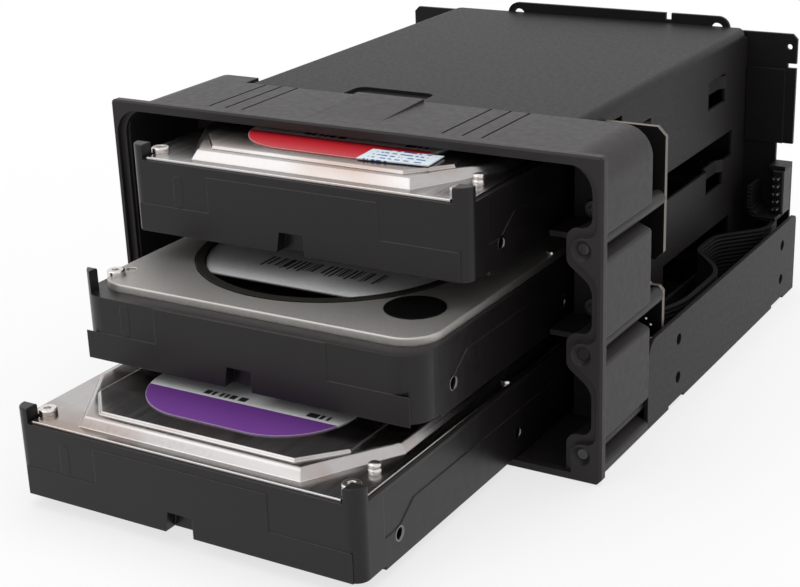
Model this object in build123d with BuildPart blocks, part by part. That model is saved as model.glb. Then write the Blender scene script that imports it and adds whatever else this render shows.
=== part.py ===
from build123d import *
import os

# Hot swap cage for three 3.5 inch drives, in millimetres.
# X runs to the right, Y from the front flange back to the fan, Z up from the underside of the tray.
# The drives are drawn where the photograph shows them, each one pulled out a different way.

# Cage, overall
cage_width = 146.0
cage_corner = 8.0
flange_lip = 2.2
flange_rise = 1.2
flange_depth = 2.6
flange_corner = 1.2
bezel_wall = 1.6
bezel_depth = 35.5
rear_wall = 2.0
plate_y = 160.0
plate_thickness = 1.2

# Opening of the flange
opening_rim = 1.5
opening_top_rim = 2.6
opening_bottom = 1.9
opening_corner = 7.5
opening_depth = 1.4
opening_flare = 1.9
lobe_reach = 2.7
flange_edge = 0.5
lobe_above = 3.3
lobe_below = 2.2
lobe_slope = 7.5
lobe_round = 3.0
window_round = 5.5

# Drive bays
bay_count = 3
bay_pitch = 27.2
bay_floor = 2.4
bay_gap = 0.5
bay_margin = 1.2
roof_gap = 0.8
drive_width = 101.6
drive_length = 147.0
seat_gap = 2.0
pulled_out = [77.7, 50.8, 25.4]

# Lamp pipes on the right of the bezel
pipe_inset = 3.5
pipe_low = 7.1
pipe_spread = 0.3
sleeve_radius = 2.2
pipe_radius = 1.5
pipe_gap = 0.1
pipe_recess = 1.3
cone_radius = 2.7
groove_depth = 5.5
groove_above = 2.0
groove_below = 4.6
groove_floor = 2.4
groove_round = 1.0
led_radius = 1.2
led_length = 1.6

# Webs between the bays inside the bezel
web_front = 20.0
web_thickness = 1.5
web_drop = 3.9

# Snap panel and grooves on top of the bezel
mark_width = 0.7
mark_depth = 0.4
mark_start = 8.5
left_marks = [-47.0, -41.5, -36.0]
right_marks = [26.7, 32.6, 38.2]
wedge_left = -15.5
wedge_right = 5.9
wedge_start = 12.5
wedge_rise = 0.8

# Stay behind the upper left corner of the bezel
stay_depth = 6.5
stay_low = 60.0
stay_inner = 54.3

# Sheet metal box round the bays
box_gap = 3.0
sheet = 1.0
corner_relief = 3.0
box_bend = 2.5
thumb_left = -20.5
thumb_right = 4.7
thumb_length = 9.0
thumb_depth = 1.1
thumb_corner = 3.0
window_front = 92.0
window_rear = 148.3
window_rise = 16.4
window_height = 8.5
lower_window_rise = 11.6
lower_window_height = 12.0
bridge_columns = [(71.0, 80.5), (126.0, 140.5)]
bridge_rise = 12.8
bridge_width = 4.0
bridge_slit_below = 4.0
bridge_slit_above = 0.9
lance_push = 1.5
lance_lead = 2.2
ear_reach = 8.0
ear_height = 12.0
ear_drop = 0.3
rear_tab_width = 7.0
rear_tab_height = 7.8
rear_tab_x = [-33.0, 48.0]
rear_screw_drop = 4.8
foot_reach = 6.5
foot_width = 11.0
foot_centres = [66.0, 143.0]
foot_screw_out = 3.6

# Screws that hold the cage together
bezel_screw_radius = 1.4
screw_gap = 0.1
screw_head_radius = 2.5
screw_head_height = 1.5
screw_drive_radius = 1.1
screw_drive_depth = 0.8

# Tray below the box
tray_side = 25.5
tray_sheet = 1.2
tray_floor = 1.0
tray_end_gap = 1.5
tray_corner = 5.0
tray_rear_corner = 2.0
tray_hole_radius = 1.7
tray_hole_fronts = [57.0, 145.3]
tray_hole_levels = [7.3, 18.8]
notch_height = 0.9
notch_length = 11.0
notch_centres = [56.0, 142.5]

# Rear plate
ear_inset = 3.0
ear_below_top = 0.8
ear_cut = 1.6
ear_notch_below = 9.4
ear_notch_height = 1.5
ear_notch_reach = 2.8
ear_break_high = 48.4
ear_break_low = 42.3
ear_break_reach = 5.4
ear_low = 23.4
ear_shelf_reach = 6.0
ear_pin_inset = 2.4
ear_pin_below = 4.1
ear_pin_radius = 0.9
emboss_depth = 0.6
emboss_inner_gap = 0.2
emboss_outer_inset = 3.3
emboss_below = 11.3
plate_side_gap = 0.2
tongue_half = 40.0
tongue_rise_above = 3.2
tongue_corner = 4.0
grid_pitch = 71.5
grid_hole_radius = 2.15
tongue_slot_x = 26.5
tongue_slot_width = 2.0
tongue_slot_depth = 2.2
plate_foot_half = 48.0
plate_foot_length = 8.0
plate_screw_x = 40.0
plate_screw_y = 156.4
socket_slot_x = -44.0
socket_slot_width = 14.0
socket_slot_low = 8.0
socket_slot_high = 80.0

# Boards behind the bezel that carry the lamps
board_y = 48.0
board_thickness = 1.6
board_gap = 0.3
board_tab = 8.0
board_tab_height = 8.0
board_tab_low = 18.0
board_tab_below_top = 8.8
board_tab_window = 9.4
board_below_top = 3.5
upper_board_below_pipe = 17.6
lower_board_above_pipe = 3.7
board_cut = 2.4

# Guide rails in the bays
rail_lip = 3.3
rail_lip_thickness = 1.6
rail_play = 0.1
rail_side_play = 0.3
rail_height = 4.0
rail_end_gap = 3.0
rail_lead = 6.0

# Backplane and its sockets
vent_width = 30.0
vent_height = 7.0
vent_x = [-14.0, 20.7]
vent_rise = 14.5
post_length = 6.4
post_radius = 2.5
post_x = [-34.5, 46.5]
post_levels = [28.0, 60.0]
outlet_x = -44.0
outlet_width = 8.5
outlet_height = 15.0
outlet_levels = [18.0, 36.0, 54.0]
outlet_slot_width = 2.2
outlet_slot_height = 11.5
outlet_slot_depth = 6.0
outlet_reach = 9.0
power_below_top = 13.8
power_height = 13.0
power_width = 11.0
power_pin_radius = 1.4
power_pin_pitch = 3.6
backplane_side_gap = 1.3
backplane_low = 3.0
backplane_top_gap = 1.3
socket_x = 20.7
socket_width = 42.0
socket_height = 6.4
socket_length = 8.0
socket_rise = 0.9
tongue_rise = 3.5
tongue_thickness = 1.3
connector_gap = 0.25

# Fan
fan_size = 70.0
fan_depth = 15.0
fan_corner = 4.0
fan_pitch = 61.5
fan_x = 7.5
fan_lift = 3.6
fan_wall = 1.0
fan_flange = 3.0
fan_bore = 33.5
fan_inlet_step = 0.5
fan_screw_radius = 2.15
hub_radius = 15.0
hub_depth = 10.0
blade_count = 7
blade_tip = 30.6
blade_thickness = 1.4
shaft_radius = 1.5
shaft_gap = 0.05
strut_width = 4.0
motor_tube_radius = 7.0
motor_tube_length = 6.0
rotor_setback = 1.2
hub_round = 1.0
shaft_length = 8.5
blade_root = 13.2
root_pitch = 46.0
tip_pitch = 31.0
root_chord = 13.0
tip_chord = 19.0
fan_screw_head = 3.6

# Ribbon cable on edge in the right channel
ribbon_thickness = 1.3
ribbon_low = 1.4
ribbon_high = 25.2
ribbon_route = [(63.0, 52.5), (69.3, 70), (69.3, 98), (56.6, 113), (56.6, 128), (69.0, 142), (68.0, 152.0)]
ribbon_radii = [30, 18, 9, 9, 10]
rise_route = [(60.0, 36.0), (60.0, 25.85), (69.0, 25.85)]
rise_radius = 4.0
rise_front = 149.0
rise_rear = 158.0

# Pin header at the ear, where the ribbon ends
header_width = 4.0
header_low = 26.5
header_height = 14.5
header_depth = 7.0
header_pins = 5
header_pin_pitch = 2.54
header_pin_size = 0.64
header_pin_reach = 2.6

# Parts of each drive
case_top = 20.6
case_rim = 1.1
rim_depth = 10.5
post_width = 4.2
post_depth = 4.0
post_top = 24.6
cover_sheet = 0.8
cover_inset = 0.9
crest_half = 47.0
crest_front = 3.8
crest_nose = 33.0
crest_shoulder = 27.0
crest_top = 23.9
panel_half = 38.0
panel_front = 7.4
panel_nose = 29.0
panel_shoulder = 17.5
panel_top = 24.6
label_thickness = 0.3
side_hole_radius = 1.5
side_hole_depth = 4.0
side_hole_rise = 6.35
side_hole_front = 16.9
side_hole_middle = 76.9
side_hole_rear = 118.5
case_screw_x = 45.2
case_screw_front = 6.4
case_screw_radius = 2.4
case_screw_height = 1.5
pad_relief = 0.4
front_relief = 0.22
case_corner = 3.4
cover_taper = 35.0
crest_round = 1.2
panel_round = 0.25
ring_gap = 0.3
label_back_corner = 4.0
pad_half = 25.8
pad_top = 18.3
ledge_half = 48.5
ledge_top = 8.7
slot_mark_x = -35.4
slot_mark_width = 2.8
slot_mark_low = 8.9
slot_mark_high = 17.6
notch_left = -5.0
notch_right = 3.5
notch_rise = 6.6
notch_cut = 3.5
notch_lean = 1.2
side_relief = 0.22
side_relief_low = 12.6
side_relief_front = 24.0
side_relief_nose = 8.0
round_case_corner = 7.5
round_case_top = 18.5
round_cover_sheet = 2.1
round_cover_corner = 9.0
round_cover_inset = 1.3
ring_front = 52.0
ring_x = -3.0
ring_radius = 39.0
ring_width = 2.4
ring_depth = 0.8
ring_height = 1.1
label_half = 29.5
label_front = [13.7, 25.0, 11.8]
label_corner = 19.0
label_length = 112.0
round_label_length = 44.0
spot_x = 36.5
spot_front = 24.0
spot_radius = 7.75
tag_x = 23.0
tag_front = 16.3
tag_width = 20.0
tag_length = 9.0
tag_turn = 4.0
underside_half = 46.5
underside_front = 42.0
underside_depth = 3.9
circuit_thickness = 1.6
circuit_gap = 0.5
motor_radius = 13.0
motor_front = 52.0
motor_height = 2.8
plug_back = 10.0
plug_front = 6.6
plug_top = 7.4
recess_top = 7.9
tongue_gap = 0.5
pin_x = 45.0
pin_front = 16.5
pin_radius = 1.6
pin_height = 3.0
tool_hole_x = -45.6
tool_hole_front = 16.2
tool_hole_radius = 1.3
mid_screw_x = 48.9
mid_screw_front = 74.0
mid_screw_radius = 1.4
round_screw_x = 46.4
round_screw_front = 11.0

os.makedirs("parts", exist_ok=True)

rearward = (0, 1, 0)
cage_half = cage_width / 2
cage_height = bay_floor + bay_count * bay_pitch + roof_gap
flange_width = cage_width + 2 * flange_lip
flange_height = cage_height + flange_rise
drive_half = drive_width / 2
box_half = drive_half + box_gap
box_inner = box_half - sheet
pipe_x = cage_half - pipe_inset
pipe_levels = [pipe_low + (bay_pitch + pipe_spread) * level for level in range(bay_count)]
bay_levels = [bay_floor + bay_pitch * level for level in range(bay_count)]
backplane_y = plate_y - post_length - board_thickness
seated_rear = backplane_y - seat_gap
drive_fronts = [seated_rear - drive_length - pull for pull in pulled_out]
tray_rear = plate_y - tray_end_gap
fan_y = plate_y + plate_thickness
fan_z = cage_height / 2 + fan_lift
fan_screw_points = [
    (fan_x + side * fan_pitch / 2, fan_z + rise * fan_pitch / 2) for side in (-1, 1) for rise in (-1, 1)
]
tongue_top = cage_height + tongue_rise_above
grid_points = [
    (fan_x + side * grid_pitch / 2, tongue_top - tongue_half + rise * grid_pitch / 2)
    for side in (-1, 1)
    for rise in (-1, 1)
]
ear_levels = [z - ear_drop for z in pipe_levels[1:]]
ear_centre = box_half + ear_reach / 2
bezel_screw_points = [(side * ear_centre, z) for side in (-1, 1) for z in ear_levels]
rear_screw_points = [(x, cage_height - rear_screw_drop) for x in rear_tab_x]
tray_holes = [(y, z) for y in tray_hole_fronts for z in tray_hole_levels]
tray_screw_points = [(side * (box_half + foot_screw_out), y) for side in (-1, 1) for y in foot_centres]
plate_screw_points = [(side * plate_screw_x, plate_screw_y) for side in (-1, 1)]
board_tab_levels = [board_tab_low, cage_height - board_tab_below_top]
board_screw_points = [(box_half + board_tab / 2, z) for z in board_tab_levels]
board_edge = cage_half - bezel_wall
power_level = cage_height - power_below_top


def facing(y):
    """Upright plane across the cage at depth y, seen from the front."""
    return Plane.XZ.offset(-y)


def sideways(x):
    """Upright plane along the cage at x, seen from its right side."""
    return Plane.YZ.offset(x)


def level_plane(z):
    """Level plane at height z."""
    return Plane.XY.offset(z)


def save(part, name):
    """Label a finished piece and write it to its own file."""
    part.label = name
    export_step(part, f"parts/{name}.step")


def corners_at(corners, points):
    """Those of the corners of a sketch that lie on the given points."""
    return [v for v in corners if any(abs(v.X - x) + abs(v.Y - z) < 0.01 for x, z in points)]


# Outline of the bezel shell: its right side steps in under each swelling, where a lamp pipe runs back
shell_outline = [(-cage_half, 0), (cage_half, 0)]
groove_lips = []
for pipe_z in pipe_levels:
    groove_lips += [(cage_half, pipe_z - groove_below), (cage_half, pipe_z + groove_above)]
    shell_outline += [
        (cage_half, pipe_z - groove_below),
        (cage_half - groove_depth, pipe_z - groove_floor),
        (cage_half - groove_depth, pipe_z + groove_above),
        (cage_half, pipe_z + groove_above),
    ]
shell_outline += [(cage_half, cage_height), (-cage_half, cage_height)]

opening_half = flange_width / 2 - opening_rim
opening_top = flange_height - opening_top_rim
opening_fill = pipe_x - lobe_reach


def opening_at(depth, inset):
    """Flange opening: a rounded lobe reaches in at each lamp and the lowest fills its corner.

    The sides and the lobes stand further in by the inset.
    """
    half = opening_half - inset
    fill = opening_fill - inset
    outline = [(-half, opening_bottom), (fill, opening_bottom)]
    tips = [(fill, pipe_low + lobe_above + inset)]
    floors = []
    roofs = []
    for pipe_z in pipe_levels:
        lobe_top = pipe_z + lobe_above + inset
        lobe_base = pipe_z - lobe_below - inset
        if pipe_z > pipe_low:
            roofs.append((half, pipe_z - lobe_slope - inset))
            tips += [(fill, lobe_base), (fill, lobe_top)]
            outline += [roofs[-1], (fill, lobe_base)]
        floors.append((half, lobe_top))
        outline += [(fill, lobe_top), floors[-1]]
    outline += [(half, opening_top), (-half, opening_top)]
    with BuildSketch(facing(depth)) as opening:
        with BuildLine():
            Polyline(*outline, close=True)
        make_face()
        fillet(corners_at(vertices(), tips), lobe_round)
        fillet(corners_at(vertices(), floors), lobe_round)
        fillet(corners_at(vertices(), roofs), window_round)
        fillet(vertices().group_by(Axis.Y)[-1], opening_corner)
    return opening.sketch


front_opening = opening_at(0, 0)
inner_opening = opening_at(opening_depth, opening_flare)

with BuildPart() as bezel:
    with BuildSketch(facing(flange_depth)):
        with BuildLine():
            Polyline(*shell_outline, close=True)
        make_face()
        fillet(vertices().group_by(Axis.Y)[-1], cage_corner)
        offset(amount=-bezel_wall, kind=Kind.INTERSECTION, mode=Mode.SUBTRACT)
        fillet(corners_at(vertices(), groove_lips), groove_round)
    extrude(amount=bezel_depth - flange_depth, dir=rearward)
    # Rear wall, open where the drives pass
    with BuildSketch(facing(bezel_depth - rear_wall)):
        with BuildLine():
            Polyline(*shell_outline, close=True)
        make_face()
        fillet(vertices().group_by(Axis.Y)[-1], cage_corner)
        fillet(corners_at(vertices(), groove_lips), groove_round)
        with Locations((0, cage_height / 2)):
            Rectangle(2 * (drive_half + bay_margin), cage_height - 2 * bezel_wall, mode=Mode.SUBTRACT)
    extrude(amount=rear_wall, dir=rearward)
    # Webs that part the bays, one pair beside each of the upper two drives
    web_inner = drive_half + bay_gap
    web_left = cage_half - bezel_wall / 2
    web_right = cage_half - groove_depth - bezel_wall / 2
    for pipe_z in pipe_levels[1:]:
        with BuildSketch(facing(web_front)):
            with Locations((-(web_inner + web_left) / 2, pipe_z - web_drop)):
                Rectangle(web_left - web_inner, web_thickness)
            with Locations(((web_inner + web_right) / 2, pipe_z - web_drop)):
                Rectangle(web_right - web_inner, web_thickness)
        extrude(amount=bezel_depth - rear_wall - web_front, dir=rearward)
    # Stay that runs on behind the upper left corner
    with BuildSketch(facing(bezel_depth)):
        with BuildLine():
            Polyline(*shell_outline, close=True)
        make_face()
        fillet(vertices().group_by(Axis.Y)[-1], cage_corner)
        offset(amount=-bezel_wall, kind=Kind.INTERSECTION, mode=Mode.SUBTRACT)
        with Locations((-(cage_half + stay_inner) / 2, (cage_height + stay_low) / 2)):
            Rectangle(cage_half - stay_inner, cage_height - stay_low, mode=Mode.INTERSECT)
    extrude(amount=stay_depth, dir=rearward)
    # Flange plate with its lobed opening, which narrows beside the drives behind the front face
    with BuildSketch(facing(0)):
        with Locations((0, flange_height / 2)):
            Rectangle(flange_width, flange_height)
        fillet(vertices().group_by(Axis.Y)[-1], flange_corner)
        chamfer(vertices().group_by(Axis.Y)[0], flange_corner)
    extrude(amount=flange_depth, dir=rearward)
    extrude(front_opening, amount=opening_depth, dir=rearward, mode=Mode.SUBTRACT)
    extrude(inner_opening, amount=flange_depth - opening_depth, dir=rearward, mode=Mode.SUBTRACT)
    chamfer(edges().group_by(Axis.Y)[0].filter_by(Axis.Z).sort_by(Axis.X)[-1], flange_edge)
    # Sleeves of the lamp pipes, from the flange to the boards behind the bezel
    with BuildSketch(facing(flange_depth)):
        with Locations(*[(pipe_x, pipe_z) for pipe_z in pipe_levels]):
            Circle(sleeve_radius)
    extrude(amount=board_y - flange_depth, dir=rearward)
    with BuildSketch(facing(0)):
        with Locations(*[(pipe_x, pipe_z) for pipe_z in pipe_levels]):
            Circle(pipe_radius + pipe_gap)
    extrude(amount=board_y, dir=rearward, mode=Mode.SUBTRACT)
    for pipe_z in pipe_levels:
        with BuildSketch(Plane.XY.offset(pipe_z)):
            with BuildLine():
                Polyline(
                    (pipe_x, 0),
                    (pipe_x + cone_radius, 0),
                    (pipe_x + pipe_radius + pipe_gap, pipe_recess),
                    (pipe_x, pipe_recess),
                    close=True,
                )
            make_face()
        revolve(axis=Axis((pipe_x, 0, pipe_z), rearward), mode=Mode.SUBTRACT)
    # Moulded marks and the snap wedge on top
    with BuildSketch(level_plane(cage_height - mark_depth)):
        with Locations(*[(x, (mark_start + bezel_depth) / 2) for x in left_marks + right_marks]):
            Rectangle(mark_width, bezel_depth - mark_start)
    extrude(amount=mark_depth, mode=Mode.SUBTRACT)
    with BuildSketch(sideways(wedge_left)):
        with BuildLine():
            Polyline(
                (wedge_start, cage_height),
                (bezel_depth, cage_height),
                (bezel_depth, cage_height + wedge_rise),
                close=True,
            )
        make_face()
    extrude(amount=wedge_right - wedge_left)
    # Screw holes in the rear wall
    with BuildSketch(facing(bezel_depth - rear_wall)):
        with Locations(*bezel_screw_points):
            Circle(bezel_screw_radius + screw_gap)
    extrude(amount=rear_wall, dir=rearward, mode=Mode.SUBTRACT)

save(bezel.part, "bezel")

# Clear rods that carry the light of each lamp to the front
with BuildPart() as light_pipes:
    with BuildSketch(facing(pipe_recess)):
        with Locations(*[(pipe_x, pipe_z) for pipe_z in pipe_levels]):
            Circle(pipe_radius)
    extrude(amount=board_y - led_length - pipe_gap - pipe_recess, dir=rearward)

save(light_pipes.part, "light_pipes")

# Openings of the box walls as lowest, highest, front and rear edges
window_low = bay_levels[1] + window_rise
lower_window_low = bay_levels[0] + lower_window_rise
wall_windows = [
    (window_low, window_low + window_height, window_front, window_rear),
    (lower_window_low, lower_window_low + lower_window_height, window_front, window_rear),
]
wall_bridges = []
for front, rear in bridge_columns:
    for base in bay_levels[1:]:
        low = base + bridge_rise
        wall_bridges.append((low, low + bridge_width, front, rear))
        wall_windows.append((low - bridge_slit_below, low + bridge_width + bridge_slit_above, front, rear))

# Sheet metal box: an upturned channel with windows and pressed-in bridges in both walls
with BuildPart() as box_shell:
    with BuildSketch(facing(bezel_depth)):
        with Locations((0, (cage_height + tray_floor) / 2)):
            Rectangle(2 * box_half, cage_height - tray_floor)
        fillet(vertices().group_by(Axis.Y)[-1], box_bend)
        with Locations((0, (cage_height - sheet + tray_floor) / 2)):
            Rectangle(2 * (box_half - sheet), cage_height - sheet - tray_floor, mode=Mode.SUBTRACT)
    extrude(amount=plate_y - bezel_depth, dir=rearward)
    # Windows and the slits of the bridges, cut through both walls
    with BuildSketch(sideways(-box_half)):
        for low, high, front, rear in wall_windows:
            with Locations(((front + rear) / 2, (low + high) / 2)):
                Rectangle(rear - front, high - low)
    extrude(amount=2 * box_half, mode=Mode.SUBTRACT)
    # Bridges: strips of the wall pushed in towards the drives
    for low, high, front, rear in wall_bridges:
        with BuildSketch(level_plane(low)):
            for side in (-1, 1):
                outer = side * box_half
                inner = side * (box_half - sheet)
                push = side * lance_push
                with BuildLine():
                    Polyline(
                        (outer, front),
                        (outer - push, front + lance_lead),
                        (outer - push, rear - lance_lead),
                        (outer, rear),
                        (inner, rear),
                        (inner - push, rear - lance_lead),
                        (inner - push, front + lance_lead),
                        (inner, front),
                        close=True,
                    )
                make_face()
        extrude(amount=high - low)
    # Thumb recess pressed into the top behind the bezel
    thumb_centre = (thumb_left + thumb_right) / 2
    with BuildSketch(level_plane(cage_height - thumb_depth - sheet)):
        with Locations((thumb_centre, bezel_depth + (thumb_length + sheet) / 2)):
            Rectangle(thumb_right - thumb_left + 2 * sheet, thumb_length + sheet)
        fillet(vertices().group_by(Axis.Y)[-1], thumb_corner)
    extrude(amount=thumb_depth)
    with BuildSketch(level_plane(cage_height - thumb_depth)):
        with Locations((thumb_centre, bezel_depth + thumb_length / 2)):
            Rectangle(thumb_right - thumb_left, thumb_length)
        fillet(vertices().group_by(Axis.Y)[-1], thumb_corner)
    extrude(amount=thumb_depth, mode=Mode.SUBTRACT)
    # Relief cut from both rear corners of the top
    with BuildSketch(level_plane(cage_height - box_bend)):
        for side in (-1, 1):
            with BuildLine():
                Polyline(
                    (side * box_half, plate_y - corner_relief),
                    (side * box_half, plate_y),
                    (side * (box_half - corner_relief), plate_y),
                    close=True,
                )
            make_face()
    extrude(amount=box_bend, mode=Mode.SUBTRACT)
    # Windows that the tabs of the lamp boards were bent from
    tab_y = board_y + board_thickness
    with BuildSketch(sideways(box_half)):
        with Locations(*[(tab_y + sheet + board_tab_window / 2, z) for z in board_tab_levels]):
            Rectangle(board_tab_window, board_tab_height)
    extrude(amount=-sheet, mode=Mode.SUBTRACT)

save(box_shell.part, "box_shell")

# Tabs of the box: ears behind the bezel, feet on the tray, board tabs, and two at the rear plate
with BuildPart() as box_tabs:
    with BuildSketch(facing(bezel_depth)):
        with Locations(*[(side * ear_centre, z) for side in (-1, 1) for z in ear_levels]):
            Rectangle(ear_reach, ear_height)
        with Locations(*bezel_screw_points):
            Circle(bezel_screw_radius + screw_gap, mode=Mode.SUBTRACT)
    extrude(amount=sheet, dir=rearward)
    with BuildSketch(facing(tab_y)):
        with Locations(*board_screw_points):
            Rectangle(board_tab, board_tab_height)
            Circle(bezel_screw_radius + screw_gap, mode=Mode.SUBTRACT)
    extrude(amount=sheet, dir=rearward)
    with BuildSketch(facing(plate_y - sheet)):
        with Locations(*[(x, cage_height - sheet - rear_tab_height / 2) for x in rear_tab_x]):
            Rectangle(rear_tab_width, rear_tab_height)
        with Locations(*rear_screw_points):
            Circle(bezel_screw_radius + screw_gap, mode=Mode.SUBTRACT)
    extrude(amount=sheet, dir=rearward)
    with BuildSketch(level_plane(tray_floor)):
        with Locations(*[(side * (box_half + foot_reach / 2), y) for side in (-1, 1) for y in foot_centres]):
            Rectangle(foot_reach, foot_width)
        with Locations(*tray_screw_points):
            Circle(bezel_screw_radius + screw_gap, mode=Mode.SUBTRACT)
    extrude(amount=sheet)

save(box_tabs.part, "box_tabs")

# Tray: floor and low outer walls, drilled and notched on each side
with BuildPart() as base_tray:
    with BuildSketch(facing(bezel_depth)):
        with Locations((0, tray_side / 2)):
            Rectangle(cage_width, tray_side)
        with Locations((0, (tray_side + tray_floor) / 2)):
            Rectangle(cage_width - 2 * tray_sheet, tray_side - tray_floor, mode=Mode.SUBTRACT)
    extrude(amount=tray_rear - bezel_depth, dir=rearward)
    fillet(edges().filter_by(Axis.X).group_by(Axis.Z)[-1].group_by(Axis.Y)[0], tray_corner)
    fillet(edges().filter_by(Axis.X).group_by(Axis.Z)[-1].group_by(Axis.Y)[-1], tray_rear_corner)
    with BuildSketch(level_plane(0)):
        with Locations((0, (tray_rear + plate_y) / 2)):
            Rectangle(2 * box_half, plate_y - tray_rear)
    extrude(amount=tray_floor)
    with BuildSketch(sideways(-cage_half)):
        with Locations(*tray_holes):
            Circle(tray_hole_radius)
        with Locations(*[(y, notch_height / 2) for y in notch_centres]):
            Rectangle(notch_length, notch_height)
    extrude(amount=tray_sheet, mode=Mode.SUBTRACT)
    with BuildSketch(sideways(cage_half)):
        with Locations(*tray_holes):
            Circle(tray_hole_radius)
        with Locations(*[(y, notch_height / 2) for y in notch_centres]):
            Rectangle(notch_length, notch_height)
    extrude(amount=-tray_sheet, mode=Mode.SUBTRACT)
    with BuildSketch(level_plane(0)):
        with Locations(*tray_screw_points, *plate_screw_points):
            Circle(bezel_screw_radius + screw_gap)
    extrude(amount=tray_floor, mode=Mode.SUBTRACT)

save(base_tray.part, "base_tray")

# Rear plate: notched ears, a tongue above the box, fan opening, socket slot and foot
plate_half = box_half - sheet - plate_side_gap
ear_half = cage_half - ear_inset
ear_top = cage_height - ear_below_top
ear_notch_high = ear_top - ear_notch_below
ear_notch_low = ear_notch_high - ear_notch_height
ear_notch_x = ear_half - ear_notch_reach
ear_break_x = ear_half - ear_break_reach
plate_outline = [(plate_half, tray_floor), (plate_half, ear_low), (ear_half, ear_low)]
plate_outline += [(ear_half, ear_break_low), (ear_break_x, ear_break_low), (ear_break_x, ear_break_high)]
plate_outline += [(ear_half, ear_break_high), (ear_half, ear_notch_low), (ear_notch_x, ear_notch_low)]
plate_outline += [(ear_notch_x, ear_notch_high), (ear_half, ear_notch_high), (ear_half, ear_top - ear_cut)]
plate_outline += [(ear_half - ear_cut, ear_top)]
plate_outline += [(-x, z) for x, z in reversed(plate_outline)]
emboss_inner = box_half + emboss_inner_gap
emboss_outer = ear_half - emboss_outer_inset
emboss_top = ear_top - emboss_below

with BuildPart() as rear_plate:
    with BuildSketch(facing(plate_y)):
        with BuildLine():
            Polyline(*plate_outline, close=True)
        make_face()
        with Locations((fan_x, tongue_top - tongue_half)):
            RectangleRounded(2 * tongue_half, 2 * tongue_half, tongue_corner)
        with Locations((fan_x, fan_z)):
            Circle(fan_bore - fan_inlet_step, mode=Mode.SUBTRACT)
        with Locations(*fan_screw_points):
            Circle(fan_screw_radius, mode=Mode.SUBTRACT)
        with Locations(*grid_points):
            Circle(grid_hole_radius, mode=Mode.SUBTRACT)
        with Locations(*rear_screw_points):
            Circle(bezel_screw_radius + screw_gap, mode=Mode.SUBTRACT)
        with Locations((ear_half - ear_pin_inset, ear_top - ear_pin_below)):
            Circle(ear_pin_radius, mode=Mode.SUBTRACT)
        with Locations((tongue_slot_x, tongue_top - tongue_slot_depth / 2)):
            Rectangle(tongue_slot_width, tongue_slot_depth, mode=Mode.SUBTRACT)
        with Locations((socket_slot_x, (socket_slot_low + socket_slot_high) / 2)):
            Rectangle(socket_slot_width, socket_slot_high - socket_slot_low, mode=Mode.SUBTRACT)
    extrude(amount=plate_thickness, dir=rearward)
    # Raised field on each ear, and the shelf bent forward below its gap
    with BuildSketch(facing(plate_y - emboss_depth)):
        for side in (-1, 1):
            with Locations((side * (emboss_inner + emboss_outer) / 2, (ear_break_high + emboss_top) / 2)):
                Rectangle(emboss_outer - emboss_inner, emboss_top - ear_break_high)
    extrude(amount=emboss_depth, dir=rearward)
    with BuildSketch(facing(plate_y - ear_shelf_reach)):
        for side in (-1, 1):
            with Locations((side * (ear_break_x + ear_half) / 2, ear_break_low - plate_thickness / 2)):
                Rectangle(ear_half - ear_break_x, plate_thickness)
    extrude(amount=ear_shelf_reach, dir=rearward)
    # Foot on the tray floor
    with BuildSketch(level_plane(tray_floor)):
        with Locations((0, plate_y - plate_foot_length / 2)):
            Rectangle(2 * plate_foot_half, plate_foot_length)
        with Locations(*plate_screw_points):
            Circle(bezel_screw_radius + screw_gap, mode=Mode.SUBTRACT)
    extrude(amount=plate_thickness)

save(rear_plate.part, "rear_plate")

# Pin header on the right ear, where the ribbon cable ends
header_right = ear_half
header_x = header_right - header_width / 2
header_front = plate_y - header_depth
header_z = header_low + header_height / 2
with BuildPart() as cable_header:
    with BuildSketch(facing(header_front)):
        with Locations((header_x, header_z)):
            Rectangle(header_width, header_height)
    extrude(amount=header_depth, dir=rearward)
    chamfer(edges().group_by(Axis.Y)[0], pad_relief)

save(cable_header.part, "cable_header")

with BuildPart() as header_contacts:
    with BuildSketch(facing(header_front - header_pin_reach)):
        with Locations((header_x, header_z)):
            with GridLocations(header_pin_pitch / 2, header_pin_pitch, 2, header_pins):
                Rectangle(header_pin_size, header_pin_size)
    extrude(amount=header_pin_reach, dir=rearward)

save(header_contacts.part, "header_pins")

# Lamp boards: one above the other, upright behind the bezel
upper_board_top = cage_height - board_below_top
upper_board_bottom = pipe_levels[2] - upper_board_below_pipe
lower_board_top = pipe_levels[1] + lower_board_above_pipe
with BuildPart() as upper_board:
    with BuildSketch(facing(board_y)):
        with BuildLine():
            Polyline(
                (box_half + board_gap, upper_board_bottom + board_cut),
                (board_edge - board_cut, upper_board_bottom),
                (board_edge, upper_board_bottom + board_cut),
                (board_edge, upper_board_top - board_cut),
                (board_edge - board_cut, upper_board_top),
                (box_half + board_gap, upper_board_top),
                close=True,
            )
        make_face()
        with Locations(board_screw_points[1]):
            Circle(bezel_screw_radius + screw_gap, mode=Mode.SUBTRACT)
    extrude(amount=board_thickness, dir=rearward)

save(upper_board.part, "upper_board")

with BuildPart() as lower_board:
    with BuildSketch(facing(board_y)):
        with BuildLine():
            Polyline(
                (box_half + board_gap, tray_floor + board_gap),
                (board_edge, tray_floor + board_gap),
                (board_edge, lower_board_top - board_cut),
                (board_edge - board_cut / 2, lower_board_top - board_cut / 2),
                (board_edge - 1.5 * board_cut, lower_board_top - board_cut / 2),
                (board_edge - 2 * board_cut, lower_board_top),
                (box_half + board_gap, lower_board_top),
                close=True,
            )
        make_face()
        with Locations(board_screw_points[0]):
            Circle(bezel_screw_radius + screw_gap, mode=Mode.SUBTRACT)
    extrude(amount=board_thickness, dir=rearward)

save(lower_board.part, "lower_board")

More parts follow.
